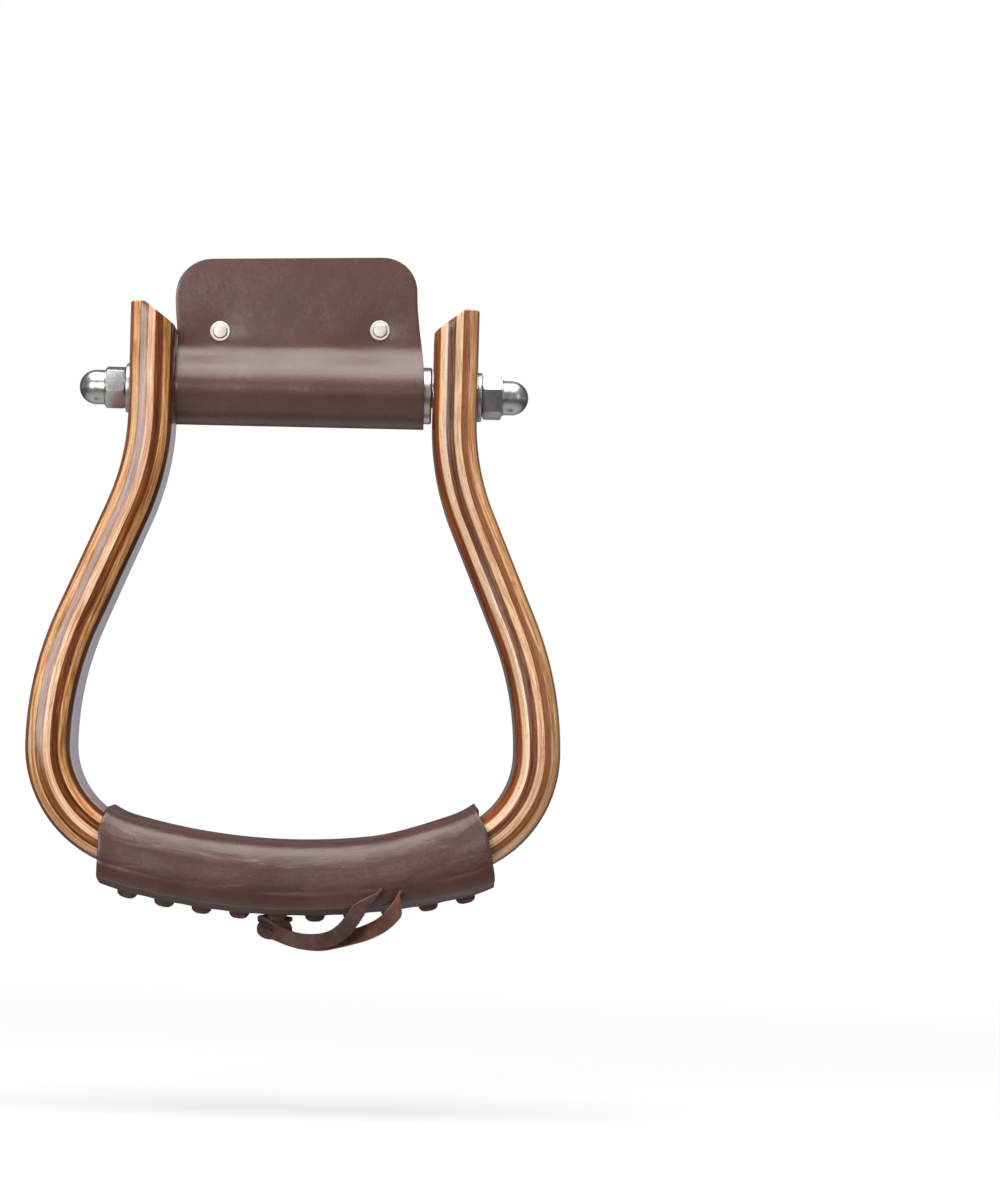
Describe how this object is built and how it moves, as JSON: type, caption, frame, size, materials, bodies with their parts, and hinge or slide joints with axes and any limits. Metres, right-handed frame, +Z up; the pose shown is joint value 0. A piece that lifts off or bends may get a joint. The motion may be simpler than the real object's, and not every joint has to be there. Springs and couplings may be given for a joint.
{
  "type": "wooden stirrup",
  "caption": "Western bell stirrup of bent laminated wood, with a bolt and roller across the neck, a riveted leather keeper and a leather covered tread laced underneath.",
  "frame": {"origin": "middle of the bolt that carries the roller, on its axis", "axes": "+Z up from the tread to the neck, X along the bolt from leg to leg with +X to the right in the left picture view, front towards -Y"},
  "size_m": [0.1766, 0.0573, 0.2332],
  "materials": {
    "face_veneer": "rosewood face veneer under a high gloss varnish",
    "light_ply": "pale ply edge under a high gloss varnish",
    "dark_ply": "dark ply edge under a high gloss varnish",
    "steel": "bright plated steel",
    "roller_steel": "smooth bright steel tube",
    "chrome": "polished nickel plate",
    "nickel": "nickel plated rivet, slightly dull",
    "keeper_leather": "smooth chocolate brown leather, semi gloss",
    "tread_leather": "smooth chocolate brown leather, semi gloss",
    "lace": "brown latigo lace, matt with paler raw edges"
  },
  "bodies": {
    "frame": {"inner_face_veneer": "face_veneer", "inner_light_ply": "light_ply", "inner_dark_ply": "dark_ply", "middle_light_ply": "light_ply", "outer_dark_ply": "dark_ply", "outer_light_ply": "light_ply", "outer_face_veneer": "face_veneer", "threaded_rod": "steel", "left_washer": "steel", "right_washer": "steel", "left_acorn_nut": "chrome", "right_acorn_nut": "chrome", "tread_leather": "tread_leather", "left_lace": "lace", "right_lace": "lace", "lace_knot": "lace", "front_lace_tail": "lace", "rear_lace_tail": "lace"},
    "sleeve": {"roller_sleeve": "roller_steel"},
    "keeper": {"leather_keeper": "keeper_leather", "left_rivet": "nickel", "right_rivet": "nickel", "left_rivet_burr": "nickel", "right_rivet_burr": "nickel"}
  },
  "joints": [
    {"name": "sleeve_spin", "type": "hinge", "parent": "frame", "child": "sleeve", "pos_m": [0, 0, 0], "axis": [1, 0, 0], "continuous": true},
    {"name": "keeper_swing", "type": "hinge", "parent": "frame", "child": "keeper", "pos_m": [0, 0, 0], "axis": [1, 0, 0], "continuous": true}
  ]
}
